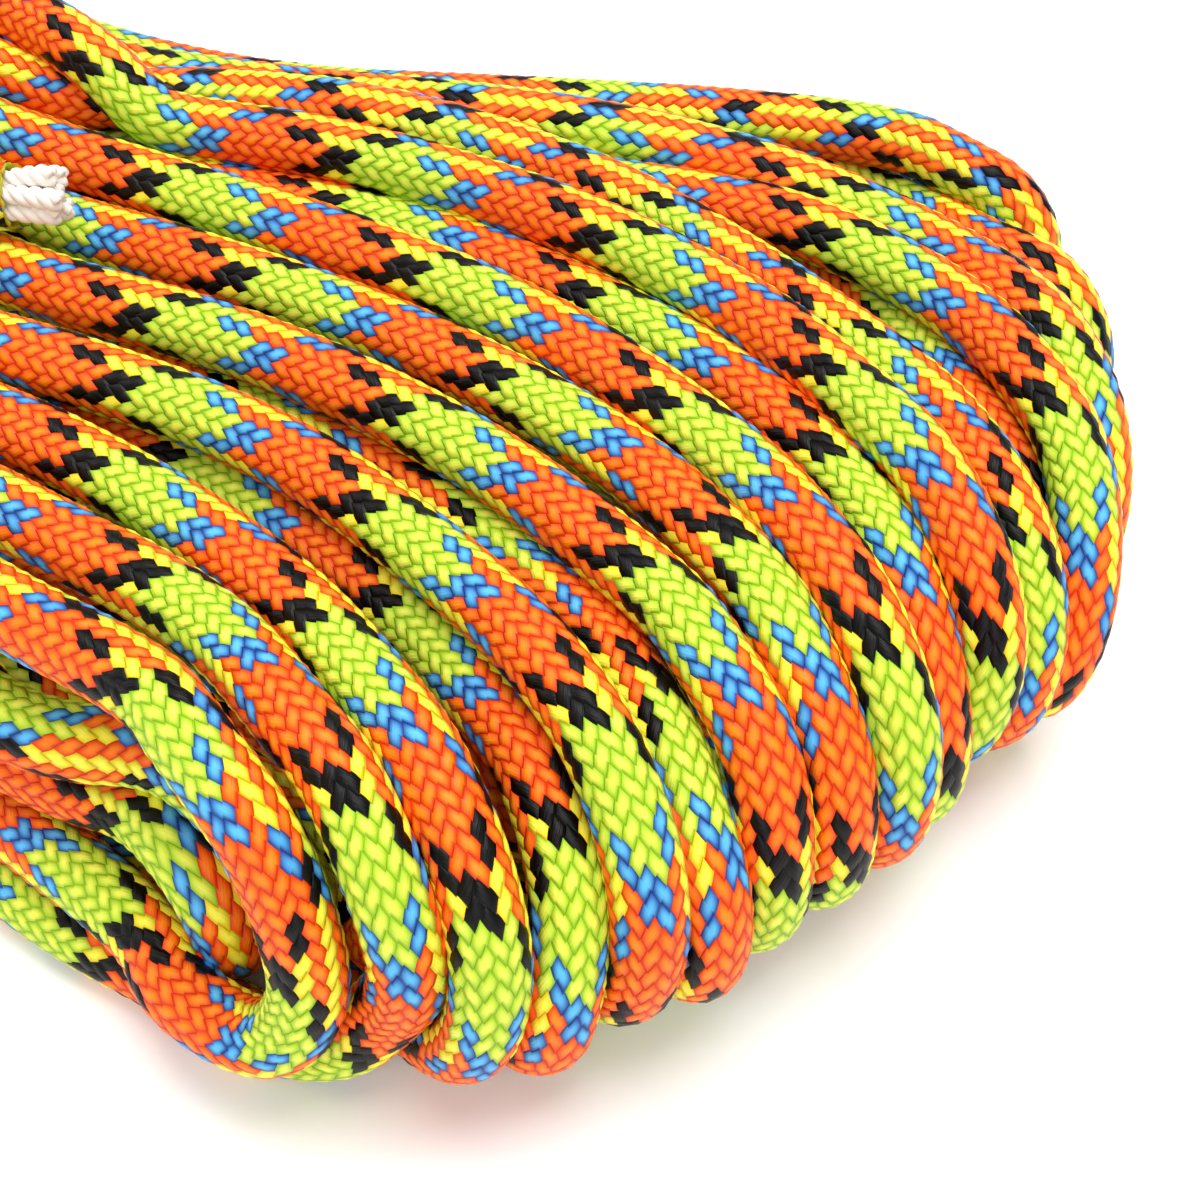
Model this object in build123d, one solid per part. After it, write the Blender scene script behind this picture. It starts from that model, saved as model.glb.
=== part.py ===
from build123d import *
import math
import os

# Hank of 4 mm braided accessory cord (kernmantle), millimetres, +Z up.
# The hank lies flat: two lobes of folded turns along X, pinched at the waist
# where the cord's own tail is wound round it. The coil is one closed solid of
# the hank's outer shape. The origin is the centre of the footprint, Z = 0 is
# the surface that the hank lies on.

# ---- cord --------------------------------------------------------------
CORD_D = 4.0
CORD_R = CORD_D / 2
SHEATH_BORE_R = 1.45          # room for the core yarns in the open end
YARN_R = 0.47                 # one core yarn
YARN_PITCH_R = 0.95           # six yarns round the middle one

# ---- hank --------------------------------------------------------------
WAIST_HALF_W = 19.5
WAIST_HALF_H = 13.1
WAIST_Z = 17.0
WAIST_X = 11.0                # straight waist bar, +-X
RIGHT_TIP = 98.8
LEFT_TIP = -95.6
LOBE_REAR = 45.5
LOBE_FRONT = -33.0
LOBE_TOP = 22.9
FLAT_Z = -0.4                # the lobes are drawn this far below the floor and cut off flat at it

# ---- binding turns -----------------------------------------------------
WRAPS = 5
WRAP_PITCH = 3.9
WRAP_IN = 0.35                # how far the soft turns flatten on the waist

# ---- cut end on top of the right lobe ------------------------------------
TAIL_POINTS = [(10.0, 0.8, 28.2), (16.0, -1.6, 27.9), (28.0, -1.4, 25.5), (36.0, 2.5, 25.1)]
CORE_OUT = 2.9                # core yarns that stand out of the sheath
CORE_IN = 5.0                 # and that far inside it

# ---- other end on the floor, in the notch behind the waist -----------------
START_POINTS = [(12.0, 39.0, CORD_R), (-4.0, 38.2, CORD_R), (-15.0, 33.5, CORD_R), (-20.5, 24.0, 2.4), (-19.0, 15.0, 5.0)]
TIP_LEN = 5.0                 # heat sealed length


def section(x, y0, y1, z0, z1, r):
    r = min(r, (y1 - y0) / 2 * 0.98, (z1 - z0) / 2 * 0.98)
    plane = Plane(origin=(x, (y0 + y1) / 2, (z0 + z1) / 2), x_dir=(0, 1, 0), z_dir=(1, 0, 0))
    return plane * RectangleRounded(y1 - y0, z1 - z0, r)


# x, front y, rear y, bottom z, top z, corner radius
RIGHT = [
    (WAIST_X, -17.6, 17.6, 4.8, 29.2, 11.6),
    (17.0, -18.4, 18.0, 3.4, 27.2, 10.5),
    (24.0, -21.0, 21.0, 1.2, 23.8, 9.5),
    (31.0, -26.5, 26.5, FLAT_Z, 22.6, 9.0),
    (40.0, -30.2, 33.0, FLAT_Z, 22.6, 8.5),
    (52.0, -31.4, 39.5, FLAT_Z, 22.8, 8.5),
    (64.0, -31.6, 44.0, FLAT_Z, LOBE_TOP, 8.5),
    (74.0, -31.9, LOBE_REAR, FLAT_Z, LOBE_TOP, 8.5),
    (80.0, -30.0, 45.2, FLAT_Z, 22.4, 8.8),
    (86.0, -25.0, 43.6, FLAT_Z, 22.0, 9.2),
    (91.0, -18.5, 40.5, 1.0, 21.0, 9.6),
    (95.0, -10.5, 36.5, 2.8, 18.8, 7.6),
    (97.6, -3.0, 31.5, 5.4, 16.4, 5.2),
    (RIGHT_TIP, 3.0, 26.5, 8.2, 13.6, 2.6),
]
LEFT = [
    (-WAIST_X, -17.6, 17.6, 4.8, 29.2, 11.6),
    (-17.0, -18.2, 18.4, 3.4, 27.0, 10.5),
    (-24.0, -21.0, 21.0, 1.2, 23.6, 9.5),
    (-31.0, -25.0, 26.0, FLAT_Z, 22.0, 9.0),
    (-40.0, -28.8, 31.0, FLAT_Z, 21.4, 8.5),
    (-52.0, -31.6, 35.6, FLAT_Z, 21.6, 8.5),
    (-64.0, -33.0, 38.0, FLAT_Z, 21.8, 8.5),
    (-74.0, -31.8, 37.4, FLAT_Z, 21.8, 8.5),
    (-82.0, -27.6, 33.6, FLAT_Z, 21.2, 9.0),
    (-88.0, -21.5, 27.8, 1.0, 20.0, 9.2),
    (-92.0, -14.5, 21.0, 2.8, 18.0, 7.2),
    (-94.6, -7.0, 13.5, 5.4, 15.6, 4.8),
    (LEFT_TIP, -2.0, 8.5, 8.0, 13.0, 2.4),
]


def tube(points, r, turns=None):
    """Round tube along straight runs with arcs at the corners."""
    pts = [Vector(*p) for p in points]
    radii = []
    for a, b, c in zip(pts, pts[1:], pts[2:]):
        u, v = (b - a), (c - b)
        run = min(u.length, v.length)
        half = math.radians(u.get_angle(v)) / 2
        radii.append(0.45 * run / math.tan(half))
    if radii:
        path = FilletPolyline(*pts, radius=radii)
    else:
        path = Line(*pts)
    start = Plane(origin=path @ 0, z_dir=path % 0)
    return sweep(start * Circle(r), path=path), radii


# ---- solids ---------------------------------------------------------------
right_lobe = loft([section(*s) for s in RIGHT], ruled=True)
left_lobe = loft([section(*s) for s in reversed(LEFT)], ruled=True)
waist_plane = Plane(origin=(-WAIST_X, 0, WAIST_Z), x_dir=(0, 1, 0), z_dir=(1, 0, 0))
waist_ellipse = waist_plane * Ellipse(WAIST_HALF_W, WAIST_HALF_H)
waist_bar = extrude(waist_ellipse, amount=2 * WAIST_X)
below = Pos(0, 0, -10) * Box(400, 200, 20)
hank_coil = (right_lobe + left_lobe + waist_bar) - below

wraps = None
for i in range(WRAPS):
    x = (i - (WRAPS - 1) / 2) * WRAP_PITCH
    pl = Plane(origin=(x, 0, WAIST_Z), x_dir=(0, 1, 0), z_dir=(1, 0, 0))
    a = WAIST_HALF_W + CORD_R - WRAP_IN
    b = WAIST_HALF_H + CORD_R - WRAP_IN
    ring_path = pl * Ellipse(a, b)
    edge = ring_path.edges()[0]
    ring = sweep(Plane(origin=edge @ 0, z_dir=edge % 0) * Circle(CORD_R), path=edge)
    wraps = ring if wraps is None else wraps + ring
waist_core = extrude(Plane(origin=(-WAIST_X - 5, 0, WAIST_Z), x_dir=(0, 1, 0), z_dir=(1, 0, 0)) * Ellipse(WAIST_HALF_W, WAIST_HALF_H), amount=2 * WAIST_X + 10)
waist_wraps = wraps - waist_core

tail_full, tail_radii = tube(TAIL_POINTS, CORD_R)
p_end = Vector(*TAIL_POINTS[-1])
tail_dir = (p_end - Vector(*TAIL_POINTS[-2])).normalized()
end_plane = Plane(origin=p_end, z_dir=tail_dir)
bore = extrude(end_plane.offset(-CORE_IN) * Circle(SHEATH_BORE_R), amount=CORE_IN + 1)
tail_end = (tail_full - bore) - hank_coil - waist_wraps

core_yarns = []
for i in range(7):
    if i == 0:
        cx, cy = 0.0, 0.0
    else:
        cx = YARN_PITCH_R * math.cos(math.radians(60 * i))
        cy = YARN_PITCH_R * math.sin(math.radians(60 * i))
    out = CORE_OUT - 0.25 * ((i * 5) % 4)
    base = end_plane.offset(-CORE_IN)
    core_yarns.append(extrude(base * Pos(cx, cy) * Circle(YARN_R), amount=CORE_IN + out))

s0 = Vector(*START_POINTS[0])
s_dir = (Vector(*START_POINTS[1]) - s0).normalized()
start_full, start_radii = tube([tuple(s0 + s_dir * TIP_LEN)] + START_POINTS[1:], CORD_R)
start_end = start_full - hank_coil - waist_wraps
tip_plane = Plane(origin=s0, z_dir=s_dir)
tip = extrude(tip_plane * Circle(CORD_R), amount=TIP_LEN)
sealed_tip = fillet(tip.edges().filter_by(GeomType.CIRCLE).sort_by_distance(s0)[0], 0.7)

nodes = {
    "hank_coil": hank_coil,
    "waist_wraps": waist_wraps,
    "tail_end": tail_end,
    "start_end": start_end,
    "sealed_tip": sealed_tip,
}
for i, yarn in enumerate(core_yarns):
    nodes[f"core_yarn_{i + 1}"] = yarn

# ---- put the origin at the middle of the footprint --------------------------
lo = [1e9] * 3
hi = [-1e9] * 3
for solid in nodes.values():
    bb = solid.bounding_box()
    for k, (a, b) in enumerate(((bb.min.X, bb.max.X), (bb.min.Y, bb.max.Y), (bb.min.Z, bb.max.Z))):
        lo[k] = min(lo[k], a)
        hi[k] = max(hi[k], b)
shift = (-(lo[0] + hi[0]) / 2, -(lo[1] + hi[1]) / 2, -lo[2])
print("box", [round(v, 3) for v in lo], [round(v, 3) for v in hi], "shift", [round(v, 4) for v in shift])
print("tail bend radii mm", [round(r, 2) for r in tail_radii])
print("start bend radii mm", [round(r, 2) for r in start_radii])

os.makedirs("parts", exist_ok=True)
for name, solid in nodes.items():
    moved = Pos(*shift) * solid
    if len(moved.solids()) == 1:
        moved = moved.solids()[0]
    print(name, "solids", len(moved.solids()), "volume", round(moved.volume, 2), "valid", moved.is_valid)
    export_step(moved, f"parts/{name}.step")
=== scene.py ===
import bpy
import math
import numpy as np
from mathutils import Matrix, Vector


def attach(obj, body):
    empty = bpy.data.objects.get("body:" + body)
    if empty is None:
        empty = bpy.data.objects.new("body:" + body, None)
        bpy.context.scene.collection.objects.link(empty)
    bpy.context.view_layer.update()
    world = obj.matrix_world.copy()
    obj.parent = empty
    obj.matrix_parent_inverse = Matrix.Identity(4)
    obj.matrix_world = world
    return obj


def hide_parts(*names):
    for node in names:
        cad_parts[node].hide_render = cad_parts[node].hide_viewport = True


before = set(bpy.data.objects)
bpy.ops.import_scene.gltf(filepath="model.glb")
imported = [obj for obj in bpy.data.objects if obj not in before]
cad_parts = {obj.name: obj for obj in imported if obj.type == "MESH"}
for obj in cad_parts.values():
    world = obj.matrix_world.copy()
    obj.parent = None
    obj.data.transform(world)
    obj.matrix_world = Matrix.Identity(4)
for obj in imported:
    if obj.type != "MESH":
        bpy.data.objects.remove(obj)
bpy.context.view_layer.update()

MM = 0.001
D = 4.0                 # cord diameter, mm
SWELL = 0.15            # how far a float swells over its neighbours' ends, in strand widths
PERIOD = 17.5           # length of one repeat of the sheath's pattern, mm
CARRIERS = 32

# The cord's route in the row frame, mm: from the sealed end on the floor,
# through the folded turns, round the waist and out to the cut end.
ROUTE = [
    (10.9, 32.7, 2.0), (2.7, 32.6, 2.0), (-9.6, 31.3, 2.0), (-16.1, 28.1, 2.0), (-20.0, 24.0, 2.0),
    (-21.9, 19.4, 2.3), (-22.2, 14.4, 2.0), (-20.7, 10.0, 3.9), (-17.1, 7.9, 5.5), (-11.8, 3.5, 8.4),
    (-5.6, 1.7, 14.0), (1.7, 2.4, 16.1), (10.4, 4.0, 16.7), (16.4, 6.8, 15.6), (21.1, 11.7, 11.2),
    (27.2, 16.5, 10.7), (36.1, 18.5, 8.9), (47.6, 19.1, 11.6), (63.4, 17.3, 12.6), (66.2, 16.1, 13.0),
    (72.2, 15.3, 12.7), (74.8, 17.5, 9.0), (73.4, 21.0, 5.1), (67.4, 22.0, 4.9), (64.8, 22.3, 5.7),
    (49.3, 24.2, 6.0), (38.6, 24.3, 5.9), (33.7, 22.4, 5.9), (29.1, 19.3, 6.4), (27.0, 14.6, 7.6),
    (25.5, 10.3, 9.7), (21.6, 7.0, 10.6), (16.7, 5.7, 11.7), (12.7, 6.4, 12.6), (-0.8, 6.6, 15.8),
    (-11.2, 7.9, 16.4), (-20.7, 8.1, 12.3), (-27.4, 13.0, 7.5), (-36.6, 20.1, 5.6), (-48.0, 22.4, 5.9),
    (-62.5, 22.7, 5.5), (-66.1, 22.3, 5.6), (-71.5, 20.7, 6.1), (-74.1, 16.8, 7.9), (-74.0, 12.1, 10.1),
    (-70.7, 8.6, 11.9), (-65.5, 7.9, 12.4), (-61.0, 8.0, 12.4), (-45.4, 8.8, 12.2), (-32.4, 5.8, 11.7),
    (-20.5, 1.0, 16.2), (-7.0, -1.4, 17.6), (7.2, -1.1, 17.9), (18.2, 3.2, 15.6), (30.1, 9.3, 12.2),
    (41.6, 11.1, 12.3), (57.6, 10.7, 12.8), (69.1, 10.3, 13.1), (71.8, 9.7, 13.2), (77.5, 7.6, 12.5),
    (76.9, 3.6, 8.5), (73.5, 2.0, 5.4), (68.4, 3.2, 5.7), (63.6, 4.7, 5.9), (47.3, 4.8, 6.0),
    (35.7, 3.7, 6.0), (24.5, -1.8, 8.5), (13.2, -3.1, 14.2), (0.6, -4.7, 16.0), (-12.2, -4.9, 15.4),
    (-22.8, -2.5, 9.9), (-33.2, 0.8, 5.5), (-45.4, 2.2, 6.1), (-62.3, 2.7, 5.9), (-67.8, 3.5, 5.7),
    (-72.6, 3.9, 4.8), (-76.5, 2.9, 8.3), (-75.5, 0.3, 13.1), (-69.6, -0.7, 14.1), (-67.0, -0.5, 13.4),
    (-54.9, -0.0, 12.6), (-38.9, -0.3, 12.1), (-25.5, -2.4, 14.4), (-11.4, -4.4, 19.3), (2.4, -5.2, 19.9),
    (15.4, -3.3, 17.4), (27.6, -0.4, 11.5), (40.9, 1.8, 11.2), (56.5, 3.3, 11.3), (69.3, 1.4, 11.9),
    (72.2, -0.0, 12.1), (77.9, -0.8, 11.4), (80.5, 2.3, 7.5), (78.3, 6.5, 5.5), (73.0, 7.5, 6.0),
    (68.5, 8.1, 5.7), (53.4, 8.7, 6.4), (39.5, 7.6, 8.6), (26.6, 3.4, 8.5), (15.0, 0.7, 12.6),
    (0.9, -1.1, 14.2), (-11.4, -1.5, 13.7), (-24.5, 1.9, 10.0), (-38.0, 5.6, 6.1), (-53.1, 6.4, 5.8),
    (-62.7, 6.6, 6.3), (-65.9, 7.0, 7.4), (-70.9, 5.0, 9.3), (-72.8, 0.3, 8.6), (-74.7, -4.3, 10.0),
    (-71.3, -8.3, 11.5), (-66.0, -8.8, 11.9), (-61.8, -8.4, 11.9), (-45.9, -7.9, 11.5), (-31.9, -7.7, 11.6),
    (-18.2, -7.1, 16.3), (-3.4, -8.8, 17.9), (11.4, -7.1, 16.9), (25.0, -8.8, 12.6), (37.9, -8.2, 11.6),
    (52.9, -4.1, 11.1), (66.8, -3.1, 12.1), (70.4, -3.9, 12.6), (75.9, -4.9, 12.9), (78.3, -9.3, 11.1),
    (76.3, -13.4, 8.6), (70.9, -13.7, 7.0), (67.5, -12.1, 5.8), (59.6, -9.9, 5.5), (44.3, -10.8, 5.8),
    (31.6, -12.6, 5.4), (20.7, -10.6, 9.1), (10.0, -11.1, 15.6), (0.6, -12.0, 16.5), (-13.1, -11.4, 13.9),
    (-26.0, -11.5, 7.3), (-37.4, -13.5, 5.3), (-53.0, -13.7, 5.9), (-66.7, -13.5, 5.4), (-69.4, -13.5, 4.9),
    (-75.4, -13.4, 5.5), (-76.4, -15.1, 10.9), (-72.6, -16.9, 13.9), (-67.5, -16.9, 13.1), (-62.7, -16.0, 12.1),
    (-46.4, -15.4, 11.8), (-32.7, -14.1, 11.4), (-20.7, -10.8, 15.1), (-6.7, -12.2, 19.4), (5.5, -11.6, 20.5),
    (16.0, -11.0, 16.6), (27.7, -13.2, 11.0), (40.4, -12.3, 10.7), (55.8, -11.5, 10.8), (67.1, -14.5, 11.8),
    (69.9, -16.2, 12.5), (75.3, -18.2, 12.0), (77.9, -16.5, 7.4), (76.1, -13.2, 4.0), (71.7, -9.7, 5.7),
    (68.3, -8.3, 5.9), (58.0, -5.8, 6.0), (42.3, -7.0, 5.6), (30.3, -8.3, 6.3), (17.9, -6.4, 11.3),
    (3.6, -7.4, 14.0), (-9.0, -8.2, 13.3), (-23.4, -7.2, 10.3), (-35.6, -9.6, 5.7), (-49.9, -9.8, 5.6),
    (-63.0, -9.5, 5.7), (-65.3, -9.3, 5.8), (-71.4, -10.2, 7.7), (-72.2, -14.8, 9.1), (-72.5, -19.8, 10.4),
    (-67.2, -22.1, 12.0), (-64.0, -22.5, 12.1), (-54.6, -22.0, 12.1), (-38.9, -21.4, 11.5), (-27.8, -16.6, 13.0),
    (-17.2, -14.5, 18.3), (-3.3, -15.8, 21.8), (7.5, -14.9, 22.1), (16.7, -14.4, 17.3), (27.4, -19.3, 14.3),
    (38.5, -19.1, 13.0), (53.2, -17.2, 12.8), (66.6, -20.0, 13.8), (69.5, -21.0, 15.1), (74.9, -23.4, 15.4),
    (77.0, -25.4, 11.1), (75.0, -25.7, 6.0), (70.6, -22.1, 5.4), (66.5, -21.4, 5.7), (59.8, -21.0, 6.0),
    (44.5, -20.5, 5.3), (34.4, -22.5, 5.9), (24.1, -18.3, 7.3), (15.9, -18.2, 11.0), (9.6, -18.7, 15.9),
    (3.9, -19.1, 16.2), (-8.4, -18.5, 14.7), (-20.6, -18.3, 10.0), (-31.1, -23.6, 5.8), (-43.4, -27.3, 5.7),
    (-59.6, -26.9, 5.6), (-66.2, -26.3, 5.1), (-70.6, -26.3, 4.6), (-74.6, -27.0, 7.9), (-73.5, -27.9, 13.4),
    (-67.5, -28.5, 14.3), (-65.1, -28.7, 13.2), (-53.5, -28.7, 11.8), (-39.1, -27.4, 11.4), (-27.9, -20.9, 12.6),
    (-17.0, -17.9, 16.3), (-3.6, -19.1, 19.5), (11.9, -18.2, 20.2), (22.0, -19.0, 18.7), (35.8, -23.7, 16.9),
    (49.7, -27.3, 15.2), (53.4, -28.9, 14.4), (58.3, -28.0, 14.2), (62.7, -25.7, 14.4), (67.9, -26.5, 14.0),
    (71.6, -27.0, 9.9), (68.8, -25.4, 5.4), (63.3, -25.1, 6.5), (59.0, -25.4, 6.7), (46.4, -22.6, 8.8),
    (34.4, -19.2, 9.4), (20.7, -16.2, 11.6), (11.3, -14.4, 16.0), (2.8, -15.4, 18.7), (-9.2, -15.2, 16.6),
    (-21.0, -14.7, 11.5), (-31.2, -19.2, 6.5), (-42.2, -23.3, 5.6), (-57.1, -23.1, 6.0), (-62.2, -22.3, 5.5),
    (-67.4, -22.2, 6.2), (-70.5, -24.7, 8.7), (-70.6, -30.2, 10.5), (-66.2, -32.4, 12.5), (-62.4, -32.8, 12.6),
    (-54.3, -32.5, 12.6), (-39.5, -31.6, 11.9), (-29.0, -25.9, 13.0), (-20.1, -21.9, 16.7), (-9.4, -22.8, 17.7),
    (6.3, -23.0, 18.2), (15.6, -20.0, 16.6), (24.3, -22.3, 15.0), (39.9, -25.0, 12.6), (51.9, -28.4, 10.7),
    (56.9, -28.0, 10.0), (61.6, -27.2, 10.8), (66.8, -28.9, 11.1), (68.8, -29.4, 5.8), (64.9, -27.4, 2.3),
    (60.2, -26.4, 3.4), (54.7, -26.4, 3.2), (42.7, -24.8, 7.2), (29.0, -21.8, 10.8), (16.9, -21.5, 12.4),
    (3.1, -23.3, 14.3), (-10.8, -22.3, 13.5), (-19.3, -22.4, 10.0), (-25.4, -25.8, 5.1), (-33.5, -32.8, 2.0),
    (-42.6, -37.0, 2.1), (-56.9, -37.3, 2.0), (-69.3, -37.0, 2.0), (-71.9, -36.4, 2.0), (-77.3, -34.1, 2.4),
    (-78.9, -29.3, 4.7), (-79.8, -26.1, 5.7), (-81.2, -15.6, 6.0), (-81.8, -0.2, 9.9), (-80.5, 14.1, 12.6),
    (-79.2, 19.1, 12.0), (-78.5, 23.9, 13.3), (-74.4, 26.5, 15.7), (-70.6, 27.4, 16.5), (-62.6, 28.4, 16.5),
    (-46.6, 28.3, 16.6), (-37.1, 26.1, 17.2), (-27.3, 18.1, 18.3), (-19.5, 10.5, 21.5), (-9.6, 8.3, 23.6),
    (2.2, 7.8, 22.6), (11.0, 11.1, 21.9), (21.7, 15.6, 17.2), (32.8, 21.2, 14.8), (45.9, 27.2, 15.3),
    (59.9, 34.5, 15.2), (71.4, 38.0, 15.8), (74.8, 37.9, 15.4), (80.3, 38.3, 14.0), (82.8, 36.9, 9.6),
    (81.9, 37.9, 4.7), (77.7, 39.8, 2.1), (72.7, 40.1, 2.0), (67.7, 40.0, 2.3), (63.0, 39.0, 4.1),
    (59.9, 34.9, 5.0), (56.3, 32.7, 2.6), (50.9, 30.3, 2.1), (37.3, 24.1, 2.0), (27.9, 15.9, 2.0),
    (22.5, 13.2, 2.2), (17.5, 10.4, 5.4), (12.5, 12.0, 7.4), (9.2, 9.4, 10.9), (5.1, 8.9, 11.5),
    (-1.5, 9.3, 12.4), (-13.6, 9.9, 12.4), (-21.8, 12.9, 9.9), (-27.8, 19.6, 6.5), (-33.9, 27.2, 2.0),
    (-41.6, 31.7, 2.0), (-51.9, 33.1, 2.0), (-68.5, 32.5, 2.0), (-74.0, 31.3, 2.0), (-78.5, 30.3, 2.9),
    (-82.3, 28.9, 6.3), (-83.1, 30.6, 11.2), (-80.2, 32.8, 14.8), (-75.1, 34.4, 16.0), (-71.4, 35.6, 15.9),
    (-55.7, 36.7, 15.7), (-43.7, 35.8, 15.8), (-36.0, 32.4, 15.6), (-27.0, 22.6, 16.7), (-17.4, 14.8, 20.5),
    (-11.7, 11.0, 19.9), (-4.8, 10.1, 19.9), (5.8, 10.9, 19.2), (16.6, 14.3, 15.6), (27.5, 19.3, 11.2),
    (37.6, 25.3, 11.9), (51.3, 33.3, 12.3), (62.7, 37.4, 11.7), (74.9, 36.3, 11.8), (79.7, 34.0, 12.7),
    (84.7, 33.8, 12.9), (88.3, 32.3, 9.5), (88.0, 33.0, 4.0), (83.0, 34.8, 2.0), (79.9, 35.7, 2.1),
    (69.8, 36.2, 2.0), (61.4, 35.9, 2.0), (55.6, 37.3, 2.0), (50.2, 33.9, 2.1), (36.7, 28.2, 2.1),
    (28.2, 20.9, 2.5), (21.5, 13.8, 6.4), (13.7, 11.4, 12.3), (5.9, 10.6, 15.4), (-5.3, 11.2, 15.8),
    (-9.1, 10.9, 16.3), (-14.3, 13.0, 14.9), (-16.4, 15.1, 12.5), (-22.2, 18.1, 6.5), (-28.1, 26.5, 2.1),
    (-36.7, 34.1, 2.0), (-46.9, 36.9, 2.1), (-61.9, 37.2, 2.1), (-75.9, 35.2, 2.0), (-79.0, 34.1, 2.0),
    (-84.0, 31.7, 3.0), (-86.1, 28.1, 5.9), (-85.3, 25.4, 10.1), (-83.4, 22.0, 13.5), (-79.7, 21.3, 16.9),
    (-74.8, 22.1, 16.2), (-69.6, 23.5, 15.5), (-52.7, 24.3, 15.2), (-40.8, 23.4, 15.5), (-32.1, 18.8, 14.9),
    (-21.3, 9.5, 17.2), (-13.8, 3.9, 17.5), (-4.2, 1.8, 18.5), (6.6, 4.9, 20.6), (16.4, 9.4, 21.3),
    (25.2, 13.9, 18.0), (37.1, 19.7, 16.8), (51.2, 25.1, 17.5), (65.2, 29.3, 16.7), (78.8, 28.7, 16.0),
    (86.2, 26.1, 16.3), (89.8, 23.7, 15.7), (93.3, 20.2, 13.8), (94.9, 17.6, 9.5), (93.4, 18.8, 4.6),
    (89.8, 21.7, 2.3), (85.8, 24.4, 2.0), (79.9, 26.9, 2.2), (75.3, 28.4, 2.6), (70.9, 27.7, 5.3),
    (66.5, 25.1, 3.5), (62.7, 25.1, 2.0), (53.1, 22.8, 2.0), (37.1, 16.8, 2.0), (28.1, 12.3, 2.0),
    (23.6, 9.7, 2.5), (19.8, 6.3, 6.6), (12.1, 3.3, 10.4), (1.9, 3.5, 12.4), (-6.7, 6.3, 12.9),
    (-13.5, 5.4, 12.4), (-19.9, 6.8, 8.6), (-27.2, 13.1, 3.4), (-36.6, 19.5, 2.0), (-47.7, 21.0, 2.1),
    (-62.8, 20.8, 2.0), (-77.9, 19.8, 2.0), (-83.1, 18.7, 2.1), (-87.6, 17.6, 3.6), (-91.4, 16.0, 7.0),
    (-89.8, 15.5, 12.0), (-85.1, 16.5, 14.2), (-81.2, 17.3, 15.9), (-71.6, 19.2, 15.9), (-55.4, 20.5, 15.9),
    (-42.9, 19.9, 16.0), (-34.5, 15.8, 15.5), (-25.4, 8.5, 19.3), (-12.8, 4.1, 22.1), (0.1, 1.6, 23.0),
    (6.7, 2.0, 23.2), (12.1, 3.3, 20.9), (20.9, 8.4, 16.7), (30.5, 12.2, 14.3), (42.7, 18.6, 15.0),
    (57.0, 23.6, 15.2), (70.7, 25.6, 17.0), (82.4, 23.8, 16.7), (90.1, 19.1, 16.7), (93.6, 16.1, 15.3),
    (96.1, 12.3, 12.9), (97.2, 9.0, 9.2), (95.9, 8.6, 4.2), (91.0, 11.3, 2.1), (88.5, 13.1, 2.0),
    (78.3, 17.6, 2.1), (68.2, 19.7, 2.0), (62.4, 16.9, 2.0), (50.9, 14.2, 2.0), (40.1, 10.4, 2.2),
    (37.0, 9.4, 2.0), (33.9, 5.7, 3.7), (29.5, 5.0, 5.8), (25.4, 3.8, 5.0), (13.7, 0.3, 8.9),
    (0.4, -0.5, 10.4), (-9.8, -1.3, 9.9), (-16.7, 2.0, 8.2), (-29.6, 7.9, 4.9), (-40.9, 13.2, 3.7),
    (-50.7, 13.1, 2.0), (-66.8, 12.9, 2.2), (-77.4, 12.3, 2.0), (-80.3, 11.7, 3.5), (-85.9, 11.8, 5.4),
    (-86.6, 16.5, 8.0), (-90.1, 19.6, 10.1), (-88.9, 23.3, 13.4), (-84.7, 25.9, 15.3), (-80.9, 27.8, 15.7),
    (-71.3, 31.4, 14.8), (-56.2, 31.7, 14.4), (-43.3, 31.1, 14.5), (-35.4, 27.0, 13.6), (-25.6, 17.9, 14.8),
    (-15.6, 10.0, 18.6), (-12.0, 7.0, 19.3), (-5.7, 6.0, 20.5), (2.0, 6.8, 18.3), (13.9, 9.3, 17.3),
    (24.1, 13.5, 14.6), (38.1, 19.9, 12.8), (50.9, 26.0, 13.5), (64.6, 27.6, 13.0), (75.1, 26.0, 13.1),
    (84.1, 20.0, 13.4), (87.3, 18.1, 13.7), (91.8, 15.0, 12.3), (93.2, 14.0, 7.2), (90.8, 16.1, 2.9),
    (86.7, 18.8, 2.0), (82.7, 21.9, 2.0), (72.3, 24.8, 2.0), (70.0, 27.8, 2.1), (64.2, 29.2, 2.0),
    (61.1, 28.7, 2.5), (49.4, 25.7, 2.0), (36.3, 19.8, 4.1), (27.8, 13.5, 4.4), (20.6, 9.9, 8.0),
    (13.6, 7.4, 8.9), (2.6, 5.7, 9.1), (-4.7, 5.4, 8.5), (-8.9, 6.1, 9.5), (-12.8, 8.4, 8.9),
    (-17.8, 12.3, 7.2), (-26.9, 17.5, 2.9), (-34.5, 22.6, 2.0), (-43.3, 28.4, 2.2), (-53.3, 29.2, 2.1),
    (-70.4, 28.4, 2.1), (-77.6, 26.4, 2.0), (-81.5, 26.6, 2.4), (-86.0, 24.1, 5.0), (-86.4, 21.3, 9.1),
    (-86.3, 19.9, 13.7), (-85.5, 18.8, 18.4), (-79.4, 17.8, 20.0), (-76.8, 18.3, 19.8), (-64.8, 19.6, 19.7),
    (-48.7, 19.8, 19.8), (-37.0, 18.0, 19.4), (-26.2, 11.1, 21.8), (-17.7, 6.6, 25.6), (-5.7, 4.7, 25.4),
    (8.9, 5.6, 24.9), (18.7, 5.7, 22.6), (25.7, 9.4, 18.4), (30.9, 13.6, 18.4), (42.0, 17.9, 19.1),
    (56.2, 21.1, 18.0), (69.3, 19.5, 17.4), (84.0, 14.6, 17.6), (88.8, 11.8, 17.4), (92.7, 9.2, 16.1),
    (95.6, 6.4, 12.8), (96.0, 4.8, 7.9), (93.6, 5.6, 3.5), (88.8, 8.3, 2.0), (86.1, 10.3, 2.0),
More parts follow.
